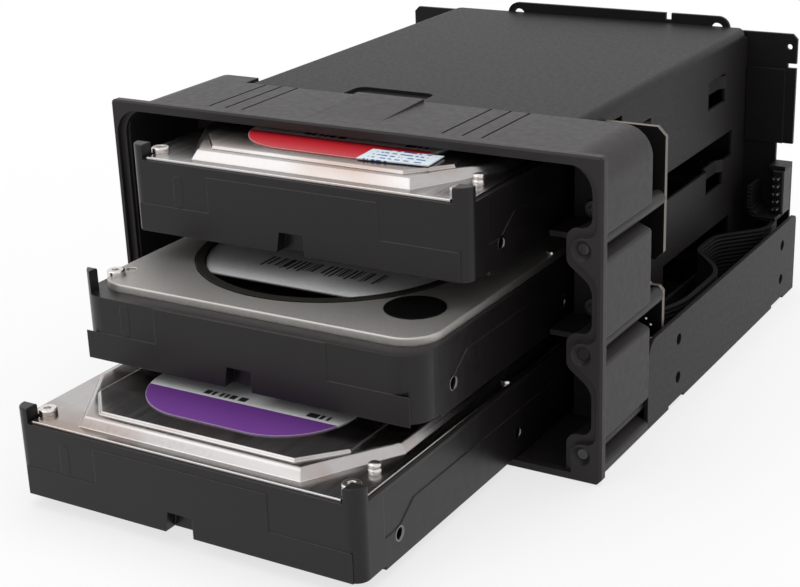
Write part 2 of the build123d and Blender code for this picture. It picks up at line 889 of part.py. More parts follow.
# Lamps on the boards, each inside the end of its sleeve
with BuildPart() as board_lamps:
    with BuildSketch(facing(board_y - led_length)):
        with Locations(*[(pipe_x, pipe_z) for pipe_z in pipe_levels]):
            Circle(led_radius)
    extrude(amount=led_length, dir=rearward)

save(board_lamps.part, "board_lamps")


def guide_rails(base):
    """One pair of L shaped rails under the edges of the drive whose underside is at base."""
    low = max(base - rail_play - rail_lip_thickness, tray_floor)
    inner = drive_half - rail_lip
    wall = box_inner
    with BuildPart() as rails:
        with BuildSketch(facing(bezel_depth)):
            with BuildLine():
                Polyline(
                    (inner, low),
                    (wall, low),
                    (wall, base + rail_height),
                    (drive_half + rail_side_play, base + rail_height),
                    (drive_half + rail_side_play, base - rail_play),
                    (inner, base - rail_play),
                    close=True,
                )
            make_face()
        extrude(amount=backplane_y - rail_end_gap - bezel_depth, dir=rearward)
        # Lead-in that steers a drive onto the lip
        with BuildSketch(level_plane(base - rail_play)):
            with BuildLine():
                Polyline(
                    (drive_half + rail_side_play, bezel_depth),
                    (wall - rail_side_play, bezel_depth),
                    (drive_half + rail_side_play, bezel_depth + rail_lead),
                    close=True,
                )
            make_face()
        extrude(amount=rail_height, mode=Mode.SUBTRACT)
        mirror(about=Plane.YZ)
    return rails.part


rail_names = ["rails_low", "rails_middle", "rails_top"]
for base, name in zip(bay_levels, rail_names):
    save(guide_rails(base), name)

# Backplane across the rear of the bays, vented above each socket
backplane_high = cage_height - sheet - backplane_top_gap
with BuildPart() as backplane:
    with BuildSketch(facing(backplane_y)):
        with Locations((0, (backplane_low + backplane_high) / 2)):
            Rectangle(2 * (box_inner - backplane_side_gap), backplane_high - backplane_low)
        fillet(vertices(), board_cut)
        with Locations(*[(x, base + vent_rise) for x in vent_x for base in bay_levels]):
            SlotOverall(vent_width, vent_height, mode=Mode.SUBTRACT)
    extrude(amount=board_thickness, dir=rearward)

save(backplane.part, "backplane")

with BuildPart() as backplane_posts:
    with BuildSketch(facing(backplane_y + board_thickness)):
        with Locations(*[(x, z) for x in post_x for z in post_levels]):
            RegularPolygon(post_radius, 6)
    extrude(amount=post_length, dir=rearward)

save(backplane_posts.part, "backplane_posts")

# One socket for each bay, with the slot that takes the drive's tongue
with BuildPart() as drive_sockets:
    with BuildSketch(facing(backplane_y - socket_length)):
        for base in bay_levels:
            with Locations((socket_x, base + socket_rise + socket_height / 2)):
                Rectangle(socket_width, socket_height)
    extrude(amount=socket_length, dir=rearward)
    chamfer(edges().group_by(Axis.Y)[0], pad_relief)
    with BuildSketch(facing(backplane_y - socket_length)):
        for base in bay_levels:
            with Locations((socket_x, base + tongue_rise + tongue_thickness / 2)):
                Rectangle(socket_width - 2 * socket_rise, tongue_thickness + 2 * connector_gap)
    extrude(amount=socket_length - socket_rise, dir=rearward, mode=Mode.SUBTRACT)

save(drive_sockets.part, "drive_sockets")

# Data outlets and the power inlet on the back of the backplane, in the slot beside the fan
outlet_y = backplane_y + board_thickness
with BuildPart() as data_outlets:
    with BuildSketch(facing(outlet_y)):
        with Locations(*[(outlet_x, z) for z in outlet_levels]):
            Rectangle(outlet_width, outlet_height)
    extrude(amount=outlet_reach, dir=rearward)
    with BuildSketch(facing(outlet_y + outlet_reach - outlet_slot_depth)):
        with Locations(*[(outlet_x, z) for z in outlet_levels]):
            Rectangle(outlet_slot_width, outlet_slot_height)
    extrude(amount=outlet_slot_depth, dir=rearward, mode=Mode.SUBTRACT)

save(data_outlets.part, "data_outlets")

with BuildPart() as power_inlet:
    with BuildSketch(facing(outlet_y)):
        with Locations((outlet_x, power_level)):
            Rectangle(power_width, power_height)
    extrude(amount=outlet_reach, dir=rearward)
    chamfer(edges().filter_by(Axis.Y), board_cut / 2)
    with BuildSketch(facing(outlet_y + outlet_reach - outlet_slot_depth)):
        with Locations((outlet_x, power_level)):
            with GridLocations(power_pin_pitch, power_pin_pitch, 2, 2):
                Circle(power_pin_radius)
    extrude(amount=outlet_slot_depth, dir=rearward, mode=Mode.SUBTRACT)

save(power_inlet.part, "power_inlet")

# Ribbon cable standing on edge, swerving along the channel between the box and the tray wall
with BuildPart() as ribbon_cable:
    with BuildSketch(level_plane(ribbon_low)):
        with BuildLine():
            FilletPolyline(*ribbon_route, radius=ribbon_radii)
        trace(line_width=ribbon_thickness)
    extrude(amount=ribbon_high - ribbon_low)
    # Its end turns up beside the pin header
    with BuildSketch(facing(rise_front)):
        with BuildLine():
            FilletPolyline(*rise_route, radius=rise_radius)
        trace(line_width=ribbon_thickness)
    extrude(amount=rise_rear - rise_front, dir=rearward)

save(ribbon_cable.part, "ribbon_cable")

# Fan frame: a duct behind its front flange
guard_y = fan_y + fan_depth - fan_flange
with BuildPart() as fan_frame:
    with BuildSketch(facing(fan_y)):
        with Locations((fan_x, fan_z)):
            RectangleRounded(fan_size, fan_size, fan_corner)
        with Locations(*fan_screw_points):
            Circle(fan_screw_radius, mode=Mode.SUBTRACT)
    extrude(amount=fan_flange, dir=rearward)
    with BuildSketch(facing(fan_y)):
        with Locations((fan_x, fan_z)):
            Circle(fan_bore + fan_wall)
    extrude(amount=fan_depth - fan_flange, dir=rearward)
    with BuildSketch(facing(fan_y)):
        with Locations((fan_x, fan_z)):
            Circle(fan_bore)
    extrude(amount=fan_depth, dir=rearward, mode=Mode.SUBTRACT)

save(fan_frame.part, "fan_frame")

# Rear flange of the fan, with struts that carry the bearing tube
with BuildPart() as fan_guard:
    with BuildSketch(facing(guard_y)):
        with Locations((fan_x, fan_z)):
            RectangleRounded(fan_size, fan_size, fan_corner)
        with Locations(*fan_screw_points):
            Circle(fan_screw_radius, mode=Mode.SUBTRACT)
        with Locations((fan_x, fan_z)):
            Circle(fan_bore, mode=Mode.SUBTRACT)
            Circle(hub_radius)
            with PolarLocations((fan_bore + hub_radius) / 2, 4, start_angle=45):
                Rectangle(fan_bore - hub_radius + 2 * fan_wall, strut_width)
    extrude(amount=fan_flange, dir=rearward)
    with BuildSketch(facing(guard_y - motor_tube_length)):
        with Locations((fan_x, fan_z)):
            Circle(motor_tube_radius)
    extrude(amount=motor_tube_length, dir=rearward)
    with BuildSketch(facing(guard_y - motor_tube_length)):
        with Locations((fan_x, fan_z)):
            Circle(shaft_radius + shaft_gap)
    extrude(amount=motor_tube_length + fan_wall, dir=rearward, mode=Mode.SUBTRACT)

save(fan_guard.part, "fan_guard")

# Fan rotor: hub cap, swept blades and the shaft that turns in the motor tube
hub_front = fan_y + rotor_setback
with BuildPart() as fan_rotor:
    with BuildSketch(facing(hub_front)):
        with Locations((fan_x, fan_z)):
            Circle(hub_radius)
    extrude(amount=hub_depth, dir=rearward)
    fillet(edges().group_by(Axis.Y)[0], hub_round)
    with BuildSketch(facing(hub_front + fan_wall)):
        with Locations((fan_x, fan_z)):
            Circle(hub_radius - fan_wall)
    extrude(amount=hub_depth - fan_wall, dir=rearward, mode=Mode.SUBTRACT)
    with BuildSketch(facing(hub_front)):
        with Locations((fan_x, fan_z)):
            Circle(shaft_radius)
    extrude(amount=fan_wall + shaft_length, dir=rearward)
    # One blade, pitched more at the root than at the tip
    for radius, pitch, chord in ((blade_root, root_pitch, root_chord), (blade_tip, tip_pitch, tip_chord)):
        blade_plane = Plane(
            origin=(fan_x, hub_front + hub_depth / 2, fan_z + radius), x_dir=(1, 0, 0), z_dir=(0, 0, 1)
        )
        with BuildSketch(blade_plane):
            with Locations(Location((0, 0, 0), (0, 0, pitch))):
                Rectangle(chord, blade_thickness)
    blade = loft(mode=Mode.PRIVATE)
    fan_axis = Axis((fan_x, 0, fan_z), rearward)
    for number in range(blade_count):
        add(blade.rotate(fan_axis, number * 360 / blade_count))

save(fan_rotor.part, "fan_rotor")


def rear_screws(points, start_y, seat_y, shaft, head):
    """Screws driven forward from behind, with their heads on a face at seat_y."""
    with BuildPart() as screws:
        with BuildSketch(facing(start_y)):
            with Locations(*points):
                Circle(shaft)
        extrude(amount=seat_y - start_y, dir=rearward)
        with BuildSketch(facing(seat_y)):
            with Locations(*points):
                Circle(head)
        extrude(amount=screw_head_height, dir=rearward)
        chamfer(edges().group_by(Axis.Y)[-1], pad_relief)
        with BuildSketch(facing(seat_y + screw_head_height - screw_drive_depth)):
            with Locations(*points):
                RegularPolygon(screw_drive_radius, 6)
        extrude(amount=screw_drive_depth, dir=rearward, mode=Mode.SUBTRACT)
    return screws.part


fan_shaft = fan_screw_radius - screw_gap
save(rear_screws(fan_screw_points, plate_y, fan_y + fan_depth, fan_shaft, fan_screw_head), "fan_screws")
box_shaft = bezel_screw_radius
save(rear_screws(rear_screw_points, plate_y - sheet, fan_y, box_shaft, screw_head_radius), "plate_screws")


def small_screws(points, face_y, length):
    """Pan head screws driven rearward through a face at face_y."""
    with BuildPart() as screws:
        with BuildSketch(facing(face_y)):
            with Locations(*points):
                Circle(bezel_screw_radius)
        extrude(amount=length, dir=rearward)
        with BuildSketch(facing(face_y - screw_head_height)):
            with Locations(*points):
                Circle(screw_head_radius)
        extrude(amount=screw_head_height, dir=rearward)
        fillet(edges().group_by(Axis.Y)[0], pad_relief)
        with BuildSketch(facing(face_y - screw_head_height)):
            with Locations(*points):
                RegularPolygon(screw_drive_radius, 6)
        extrude(amount=screw_drive_depth, dir=rearward, mode=Mode.SUBTRACT)
    return screws.part


screw_end = rear_wall + sheet
save(small_screws(bezel_screw_points, bezel_depth - rear_wall, screw_end), "bezel_screws")
save(small_screws(board_screw_points, board_y, board_thickness + sheet), "board_screws")


def floor_screws(points, seat):
    """Pan head screws driven down into the tray floor from a seat at the given height."""
    with BuildPart() as screws:
        with BuildSketch(level_plane(0)):
            with Locations(*points):
                Circle(bezel_screw_radius)
        extrude(amount=seat)
        with BuildSketch(level_plane(seat)):
            with Locations(*points):
                Circle(screw_head_radius)
        extrude(amount=screw_head_height)
        fillet(edges().group_by(Axis.Z)[-1], pad_relief)
        with BuildSketch(level_plane(seat + screw_head_height)):
            with Locations(*points):
                RegularPolygon(screw_drive_radius, 6)
        extrude(amount=-screw_drive_depth, mode=Mode.SUBTRACT)
    return screws.part


save(floor_screws(tray_screw_points, tray_floor + sheet), "tray_screws")
save(floor_screws(plate_screw_points, tray_floor + plate_thickness), "foot_screws")


def drive_case(front, base, top, corner, post_places):
    """Cast case of one drive: relieved front and sides, corner posts, circuit recess and connector bay."""
    rear = front + drive_length
    middle = (front + rear) / 2
    with BuildPart() as case:
        with BuildSketch(level_plane(base)):
            with Locations((0, middle + front_relief / 2)):
                RectangleRounded(drive_width, drive_length - front_relief, corner)
        extrude(amount=top)
        # Posts at the corners, taller than the cover
        with BuildSketch(level_plane(base + top)):
            with BuildSketch(level_plane(base + top), mode=Mode.PRIVATE) as body:
                with Locations((0, middle + front_relief / 2)):
                    RectangleRounded(drive_width, drive_length - front_relief, corner)
            post_x_place = (drive_width - post_width) / 2
            post_y_place = (drive_length - front_relief - post_depth) / 2
            for side, end in post_places:
                with Locations((side * post_x_place, middle + front_relief / 2 + end * post_y_place)):
                    Rectangle(post_width, post_depth)
            add(body.sketch, mode=Mode.INTERSECT)
        extrude(amount=post_top - top)
        fillet(edges().group_by(Axis.Z)[-1], pad_relief)
        # Front wall stops short of the underside
        with BuildSketch(level_plane(base)):
            with Locations((0, front + rim_depth / 2)):
                Rectangle(drive_width, rim_depth)
        extrude(amount=case_rim, mode=Mode.SUBTRACT)
        # Raised panels of the front: one in the middle, a low ledge, and an upright slot mark at the left
        with BuildSketch(facing(front)):
            with Locations((0, base + (case_rim + pad_top) / 2)):
                Rectangle(2 * pad_half, pad_top - case_rim)
            with Locations((0, base + (case_rim + ledge_top) / 2)):
                Rectangle(2 * ledge_half, ledge_top - case_rim)
        extrude(amount=front_relief, dir=rearward)
        with BuildSketch(facing(front + front_relief / 2)):
            with Locations((slot_mark_x, base + (slot_mark_low + slot_mark_high) / 2)):
                SlotOverall(slot_mark_high - slot_mark_low, slot_mark_width, rotation=90)
        extrude(amount=front_relief / 2, dir=rearward)
        # Notch in the lower edge of the front
        with BuildSketch(facing(front)):
            with BuildLine():
                Polyline(
                    (notch_left, base),
                    (notch_right, base),
                    (notch_right, base + notch_rise),
                    (notch_left + notch_lean, base + notch_rise),
                    close=True,
                )
            make_face()
        extrude(amount=notch_cut, dir=rearward, mode=Mode.SUBTRACT)
        # Shallow relief along the upper part of both sides
        with BuildSketch(sideways(drive_half)):
            with BuildLine():
                Polyline(
                    (front + side_hole_front, base + side_relief_nose),
                    (front + side_relief_front, base + side_relief_low),
                    (rear - rim_depth, base + side_relief_low),
                    (rear - rim_depth, base + top - cover_sheet),
                    (front + rim_depth, base + top - cover_sheet),
                    (front + rim_depth, base + side_relief_nose),
                    close=True,
                )
            make_face()
        relief = extrude(amount=-side_relief, mode=Mode.SUBTRACT)
        mirror(relief, about=Plane.YZ, mode=Mode.SUBTRACT)
        # Circuit recess below, with the motor boss, and the bay of the connector at the rear
        with BuildSketch(level_plane(base)):
            with Locations((0, (front + underside_front + rear) / 2)):
                Rectangle(2 * underside_half, drive_length - underside_front)
        extrude(amount=underside_depth, mode=Mode.SUBTRACT)
        with BuildSketch(level_plane(base + underside_depth - motor_height)):
            with Locations((0, front + motor_front)):
                Circle(motor_radius)
        extrude(amount=motor_height)
        with BuildSketch(level_plane(base)):
            with Locations((socket_x, rear - (plug_back + connector_gap) / 2)):
                Rectangle(socket_width + 2 * tongue_gap, plug_back + connector_gap)
        extrude(amount=recess_top, mode=Mode.SUBTRACT)
        # Threaded holes of the sides and the underside
        for hole_front in (side_hole_front, side_hole_middle, side_hole_rear):
            with BuildSketch(sideways(-drive_half)):
                with Locations((front + hole_front, base + side_hole_rise)):
                    Circle(side_hole_radius)
            extrude(amount=side_hole_depth, mode=Mode.SUBTRACT)
            with BuildSketch(sideways(drive_half)):
                with Locations((front + hole_front, base + side_hole_rise)):
                    Circle(side_hole_radius)
            extrude(amount=-side_hole_depth, mode=Mode.SUBTRACT)
    return case.part


def plateau_outline(front, half, nose, edge, shoulder):
    """Points of the long octagon raised on a cover."""
    rear = front + drive_length
    outline = [(-nose, front + edge), (nose, front + edge), (half, front + shoulder)]
    outline += [(half, rear - shoulder), (nose, rear - edge), (-nose, rear - edge)]
    return outline + [(-half, rear - shoulder), (-half, front + shoulder)]


def stepped_cover(front, base):
    """Pressed cover with two raised octagons, cut away round the corner posts."""
    middle = front + drive_length / 2
    crest_points = plateau_outline(front, crest_half, crest_nose, crest_front, crest_shoulder)
    panel_points = plateau_outline(front, panel_half, panel_nose, panel_front, panel_shoulder)
    seat = base + case_top
    with BuildPart() as cover:
        with BuildSketch(level_plane(seat)):
            with Locations((0, middle)):
                Rectangle(drive_width - 2 * cover_inset, drive_length - 2 * cover_inset)
                with GridLocations(drive_width - post_width, drive_length - post_depth, 2, 2):
                    Rectangle(post_width + 2 * cover_inset, post_depth + 2 * cover_inset, mode=Mode.SUBTRACT)
        extrude(amount=cover_sheet)
        with BuildSketch(level_plane(seat + cover_sheet)):
            with BuildLine():
                Polyline(*crest_points, close=True)
            make_face()
        extrude(amount=base + crest_top - seat - cover_sheet, taper=cover_taper)
        fillet(faces().sort_by(Axis.Z)[-1].edges(), crest_round)
        with BuildSketch(level_plane(base + crest_top)):
            with BuildLine():
                Polyline(*panel_points, close=True)
            make_face()
        extrude(amount=panel_top - crest_top, taper=cover_taper)
        fillet(faces().sort_by(Axis.Z)[-1].edges(), panel_round)
    return cover.part


def flat_cover(front, base):
    """Flat cover plate with round corners and a sunken disc where the seal ring lies."""
    middle = front + drive_length / 2
    with BuildPart() as cover:
        with BuildSketch(level_plane(base + round_case_top)):
            with Locations((0, middle)):
                RectangleRounded(
                    drive_width - 2 * round_cover_inset,
                    drive_length - 2 * (round_cover_inset + post_depth),
                    round_cover_corner,
                )
        extrude(amount=round_cover_sheet)
        fillet(edges().group_by(Axis.Z)[-1], pad_relief)
        with BuildSketch(level_plane(base + round_case_top + round_cover_sheet)):
            with Locations((ring_x, front + ring_front)):
                Circle(ring_radius)
        extrude(amount=-ring_depth, mode=Mode.SUBTRACT)
        with BuildSketch(level_plane(base + round_case_top + round_cover_sheet)):
            with Locations((tool_hole_x, front + tool_hole_front)):
                Circle(tool_hole_radius)
        extrude(amount=-ring_depth, mode=Mode.SUBTRACT)
    return cover.part


def press_pin(front, base):
    """Pin that stands on the cover beside its right front screw."""
    with BuildPart() as pin:
        with BuildSketch(level_plane(base + case_top + cover_sheet)):
            with Locations((pin_x, front + pin_front)):
                Circle(pin_radius)
        extrude(amount=pin_height)
        chamfer(edges().group_by(Axis.Z)[-1], pad_relief)
    return pin.part


def seal_ring(front, base):
    """Foam ring round the sunken disc."""
    with BuildPart() as ring:
        with BuildSketch(level_plane(base + round_case_top + round_cover_sheet - ring_depth)):
            with Locations((ring_x, front + ring_front)):
                Circle(ring_radius - ring_gap)
                Circle(ring_radius - ring_gap - ring_width, mode=Mode.SUBTRACT)
        extrude(amount=ring_height)
    return ring.part


def panel_label(front, base, offset_front):
    """Long label with a round front end, on the raised panel."""
    with BuildPart() as label:
        with BuildSketch(level_plane(base + panel_top)):
            with Locations((0, front + offset_front + label_length / 2)):
                Rectangle(2 * label_half, label_length)
            fillet(vertices().group_by(Axis.Y)[0], label_corner)
            fillet(vertices().group_by(Axis.Y)[-1], label_back_corner)
        extrude(amount=label_thickness)
    return label.part


def disc_label(front, base, offset_front):
    """Label that lies in the sunken disc, round at its left end."""
    with BuildPart() as label:
        with BuildSketch(level_plane(base + round_case_top + round_cover_sheet - ring_depth)):
            with Locations((ring_x, front + ring_front)):
                Circle(ring_radius - ring_gap - ring_width - ring_gap)
            with Locations((ring_x, front + offset_front + round_label_length / 2)):
                Rectangle(4 * ring_radius, round_label_length, mode=Mode.INTERSECT)
        extrude(amount=label_thickness)
    return label.part


def cover_screws(front, seat, corner_x, corner_front, places):
    """Socket head screws at the given corners of a cover and at the middle of its sides."""
    middle = front + drive_length / 2
    corner_y = drive_length / 2 - corner_front
    corners = [(side * corner_x, middle + end * corner_y) for side, end in places]
    with BuildPart() as screws:
        with BuildSketch(level_plane(seat)):
            with Locations(*corners):
                Circle(case_screw_radius)
        extrude(amount=case_screw_height)
        fillet(edges().group_by(Axis.Z)[-1], pad_relief)
        with BuildSketch(level_plane(seat + case_screw_height)):
            with Locations(*corners):
                RegularPolygon(screw_drive_radius, 6)
        extrude(amount=-screw_drive_depth, mode=Mode.SUBTRACT)
        with BuildSketch(level_plane(seat)):
            with Locations(*[(side * mid_screw_x, front + mid_screw_front) for side in (-1, 1)]):
                Circle(mid_screw_radius)
        extrude(amount=screw_drive_depth)
    return screws.part


def circuit_board(front, base):
    """Board in the recess below the case, cut out round the motor."""
    rear = front + drive_length
    with BuildPart() as board:
        with BuildSketch(level_plane(base + underside_depth - circuit_thickness)):
            with Locations((0, (front + underside_front + rear - plug_back) / 2)):
                Rectangle(2 * (underside_half - circuit_gap), drive_length - underside_front - plug_back)
            with Locations((0, front + motor_front)):
                Circle(motor_radius + circuit_gap, mode=Mode.SUBTRACT)
            with Locations((0, front + underside_front)):
                Rectangle(2 * motor_radius, 2 * (motor_front - underside_front), mode=Mode.SUBTRACT)
        extrude(amount=circuit_thickness)
    return board.part


def drive_plug(front, base):
    """Plug at the rear edge of the circuit board: a housing with a flat tongue."""
    rear = front + drive_length
    low = base + underside_depth - circuit_thickness
    with BuildPart() as plug:
        with BuildSketch(level_plane(low)):
            with Locations((socket_x, rear - (plug_back + plug_front) / 2)):
                Rectangle(socket_width, plug_back - plug_front)
        extrude(amount=base + plug_top - low)
        with BuildSketch(level_plane(base + tongue_rise)):
            with Locations((socket_x, rear - (plug_front + tongue_gap) / 2)):
                Rectangle(socket_width - 2 * socket_rise - 2 * connector_gap, plug_front - tongue_gap)
        extrude(amount=tongue_thickness)
    return plug.part


drive_names = ["drive_low", "drive_middle", "drive_top"]
all_corners = [(side, end) for side in (-1, 1) for end in (-1, 1)]
flat_corners = [place for place in all_corners if place != (1, -1)]
for name, front, base, offset_front in zip(drive_names, drive_fronts, bay_levels, label_front):
    save(circuit_board(front, base), f"{name}_circuit")
    save(drive_plug(front, base), f"{name}_plug")
    if name == "drive_middle":
        seat = base + round_case_top + round_cover_sheet
        save(drive_case(front, base, round_case_top, round_case_corner, flat_corners), f"{name}_case")
        save(flat_cover(front, base), f"{name}_cover")
        save(seal_ring(front, base), f"{name}_ring")
        save(disc_label(front, base, offset_front), f"{name}_label")
        save(cover_screws(front, seat, round_screw_x, round_screw_front, flat_corners), f"{name}_screws")
    else:
        seat = base + case_top + cover_sheet
        save(drive_case(front, base, case_top, case_corner, all_corners), f"{name}_case")
        save(stepped_cover(front, base), f"{name}_cover")
        save(panel_label(front, base, offset_front), f"{name}_label")
        save(press_pin(front, base), f"{name}_pin")
        save(cover_screws(front, seat, case_screw_x, case_screw_front, all_corners), f"{name}_screws")

# Spot seal on the flat cover and the small date tag on the top drive's label
with BuildPart() as spot_seal:
    with BuildSketch(level_plane(bay_levels[1] + round_case_top + round_cover_sheet)):
        with Locations((spot_x, drive_fronts[1] + spot_front)):
            Circle(spot_radius)
    extrude(amount=label_thickness)

save(spot_seal.part, "drive_middle_spot")

with BuildPart() as date_tag:
    with BuildSketch(level_plane(bay_levels[2] + panel_top + label_thickness)):
        with Locations(Location((tag_x, drive_fronts[2] + tag_front, 0), (0, 0, tag_turn))):
            Rectangle(tag_width, tag_length)
    extrude(amount=label_thickness)

save(date_tag.part, "drive_top_tag")
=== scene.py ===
import math

import bmesh
import bpy
from mathutils import Matrix, Vector


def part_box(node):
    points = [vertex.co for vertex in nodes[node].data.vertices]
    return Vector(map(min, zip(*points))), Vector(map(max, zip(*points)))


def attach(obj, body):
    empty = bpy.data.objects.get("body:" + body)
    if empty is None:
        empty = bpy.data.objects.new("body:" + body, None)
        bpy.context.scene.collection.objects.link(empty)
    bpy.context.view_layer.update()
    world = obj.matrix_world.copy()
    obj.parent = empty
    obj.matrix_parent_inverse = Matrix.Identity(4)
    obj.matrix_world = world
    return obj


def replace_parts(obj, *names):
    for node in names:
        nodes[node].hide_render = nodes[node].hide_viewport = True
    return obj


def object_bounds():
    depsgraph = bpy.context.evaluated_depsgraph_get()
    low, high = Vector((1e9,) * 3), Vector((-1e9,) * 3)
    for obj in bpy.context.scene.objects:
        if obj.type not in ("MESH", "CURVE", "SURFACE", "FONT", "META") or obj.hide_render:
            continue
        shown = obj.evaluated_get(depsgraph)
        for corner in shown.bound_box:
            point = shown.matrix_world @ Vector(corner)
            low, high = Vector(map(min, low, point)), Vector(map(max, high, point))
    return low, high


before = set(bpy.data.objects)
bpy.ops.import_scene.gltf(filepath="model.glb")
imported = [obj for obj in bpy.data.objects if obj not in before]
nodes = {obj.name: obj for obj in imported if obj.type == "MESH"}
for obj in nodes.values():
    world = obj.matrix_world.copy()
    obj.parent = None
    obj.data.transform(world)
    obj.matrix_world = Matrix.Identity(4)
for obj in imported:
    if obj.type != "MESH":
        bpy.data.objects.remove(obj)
cad_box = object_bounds()

# Camera, fitted to the photograph in the cage's own frame
camera_place = Vector((0.22606, -0.33815, 0.19159))
camera_yaw = math.radians(31.643)
camera_drop = math.radians(20.537)
camera_roll = math.radians(-2.189)
sensor_width = 36.0
focal_share = 1621.93 / 800

mm = 0.001
drives = ("drive_low", "drive_middle", "drive_top")

# Materials
edge_radius = 0.3 * mm
dark_ink = (0.03, 0.03, 0.035)
paper_grain = 600.0
paper_relief = 0.01 * mm
conductor_pitch = 1.27 * mm
ring_width = 1.5 * mm

# Labels, measured from the front edge of the paper and from its sides
field_length = 12.8 * mm
print_start, print_end = 1.2 * mm, 3.4 * mm
left_print = (17 * mm, 30 * mm)
right_print = (11 * mm, 4 * mm)
bars_start, tall_bars_start, bars_end = 11 * mm, 9.8 * mm, 17 * mm
bars_left, bars_right = -18 * mm, 19 * mm
tag_line_pitch = 2.3 * mm
tag_margin = 2.5 * mm

# Holes in the sides of the drives: radius and depth of the rim and of each turn of the thread
rim_profile = [(1.95, 0.0), (1.92, 0.03), (1.55, 0.03), (1.45, -0.12)]
thread_turns = 5
thread_pitch = 0.5
thread_root, thread_crest = (1.28, -0.4), (1.46, -0.65)
hole_rise = 6.35 * mm
hole_fronts = (16.9 * mm, 76.9 * mm, 118.5 * mm)

# Press pins: radius and height of a low stem with a groove below its rounded head
pin_profile = [
    (1.6, 0.0), (1.6, 0.5), (1.35, 0.6), (1.35, 0.9), (1.6, 1.0),
    (1.6, 1.75), (1.3, 2.05), (0.6, 2.15), (0.02, 2.15),
]

# Skirts below the ears of the rear plate
skirt_inner = 52.6 * mm
skirt_sheet = 1.2 * mm
skirt_height = 22.4 * mm
skirt_middle = 12.2 * mm
skirt_edge = 0.15 * mm

# Solder joints: radius and height of a dome, and the places of the domes
joint_profile = [(0.55, 0.0), (0.45, -0.18), (0.22, -0.34), (0.02, -0.40)]
joint_places = [(66.6, 27.0), (68.0, 25.4), (66.8, 23.2), (68.2, 21.4), (66.7, 19.0)]
joint_steps = 16

# Floor and lamps: each lamp's place, target, size in metres and power in watts
floor_reach = 6.0
floor_gap = 0.3 * mm
diffuse_sky = 0.45
lamps = {
    "key": ((-0.7, -0.7, 1.3), (0, 0.02, 0.04), (1.3, 1.3), 6.0),
    "side": ((1.2, -0.1, 0.9), (0, 0.05, 0.04), (0.8, 1.2), 2.0),
    "top": ((0.0, 0.4, 1.4), (0, 0.05, 0.05), (1.6, 1.2), 11.0),
}


def corner(name, low=True):
    """Lowest or highest corner of a CAD node."""
    return Vector(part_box(name)[0 if low else 1])


# Materials


class Shader:
    """A node material under construction, with short ways to add and join nodes."""

    def __init__(self, name, color, rough, metal=0.0):
        self.material = bpy.data.materials.new(name)
        self.material.use_nodes = True
        self.tree = self.material.node_tree
        self.skin = self.tree.nodes["Principled BSDF"]
        self.skin.inputs["Base Color"].default_value = (*color, 1)
        self.skin.inputs["Roughness"].default_value = rough
        self.skin.inputs["Metallic"].default_value = metal
        self.place = self.add("ShaderNodeTexCoord").outputs["Object"]
        self.facing = self.tree.nodes[-1].outputs["Normal"]

    def add(self, kind, **settings):
        node = self.tree.nodes.new(kind)
        for key, value in settings.items():
            setattr(node, key, value)
        return node

    def join(self, source, node, socket):
        self.tree.links.new(source, node.inputs[socket])

    def math(self, operation, first, second=None):
        node = self.add("ShaderNodeMath", operation=operation)
        for index, value in enumerate((first, second)):
            if isinstance(value, (int, float)):
                node.inputs[index].default_value = value
            elif value is not None:
                self.join(value, node, index)
        return node.outputs[0]

    def axis(self, vector, index):
        node = self.add("ShaderNodeSeparateXYZ")
        self.join(vector, node, 0)
        return node.outputs[index]

    def noise(self, scale, detail=3.0, roughness=0.5, stretch=None):
        node = self.add("ShaderNodeTexNoise")
        node.inputs["Scale"].default_value = scale
        node.inputs["Detail"].default_value = detail
        node.inputs["Roughness"].default_value = roughness
        source = self.place
        if stretch:
            mapping = self.add("ShaderNodeMapping")
            mapping.inputs["Scale"].default_value = stretch
            self.join(source, mapping, 0)
            source = mapping.outputs[0]
        self.join(source, node, "Vector")
        return node.outputs["Fac"]

    def span(self, value, low, high, new_low=0.0, new_high=1.0):
        node = self.add("ShaderNodeMapRange")
        node.inputs["From Min"].default_value = low
        node.inputs["From Max"].default_value = high
        node.inputs["To Min"].default_value = new_low
        node.inputs["To Max"].default_value = new_high
        self.join(value, node, "Value")
        return node.outputs[0]

    def mix(self, factor, first, second):
        node = self.add("ShaderNodeMix", data_type="RGBA")
        self.join(factor, node, 0)
        for socket, value in ((6, first), (7, second)):
            if isinstance(value, tuple):
                node.inputs[socket].default_value = (*value, 1)
            else:
                self.join(value, node, socket)
        return node.outputs[2]

    def color(self, source):
        self.join(source, self.skin, "Base Color")

    def rough(self, source):
        self.join(source, self.skin, "Roughness")

    def bump(self, height, distance, strength=1.0):
        node = self.add("ShaderNodeBump")
        node.inputs["Distance"].default_value = distance
        node.inputs["Strength"].default_value = strength
        self.join(height, node, "Height")
        if self.skin.inputs["Normal"].is_linked:
            self.join(self.skin.inputs["Normal"].links[0].from_socket, node, "Normal")
        self.join(node.outputs[0], self.skin, "Normal")

    def band(self, value, low, high):
        """1 where value lies between low and high."""
        above = self.math("GREATER_THAN", value, low)
        return self.both(above, self.math("LESS_THAN", value, high))

    def both(self, first, second):
        return self.math("MULTIPLY", first, second)

    def distance(self, across, along):
        """Level distance from the place where both offsets are zero."""
        squares = self.math("ADD", self.both(across, across), self.both(along, along))
        return self.math("SQRT", squares)

    def soft_edges(self, radius=edge_radius):
        """Round the sharp edges a little; returns 1 on the rounding, 0 on plain faces."""
        bevel = self.add("ShaderNodeBevel", samples=6)
        bevel.inputs["Radius"].default_value = radius
        self.join(bevel.outputs[0], self.skin, "Normal")
        face = self.add("ShaderNodeNewGeometry").outputs["Normal"]
        dot = self.add("ShaderNodeVectorMath", operation="DOT_PRODUCT")
        self.join(bevel.outputs[0], dot, 0)
        self.join(face, dot, 1)
        return self.span(dot.outputs["Value"], 0.995, 0.80)


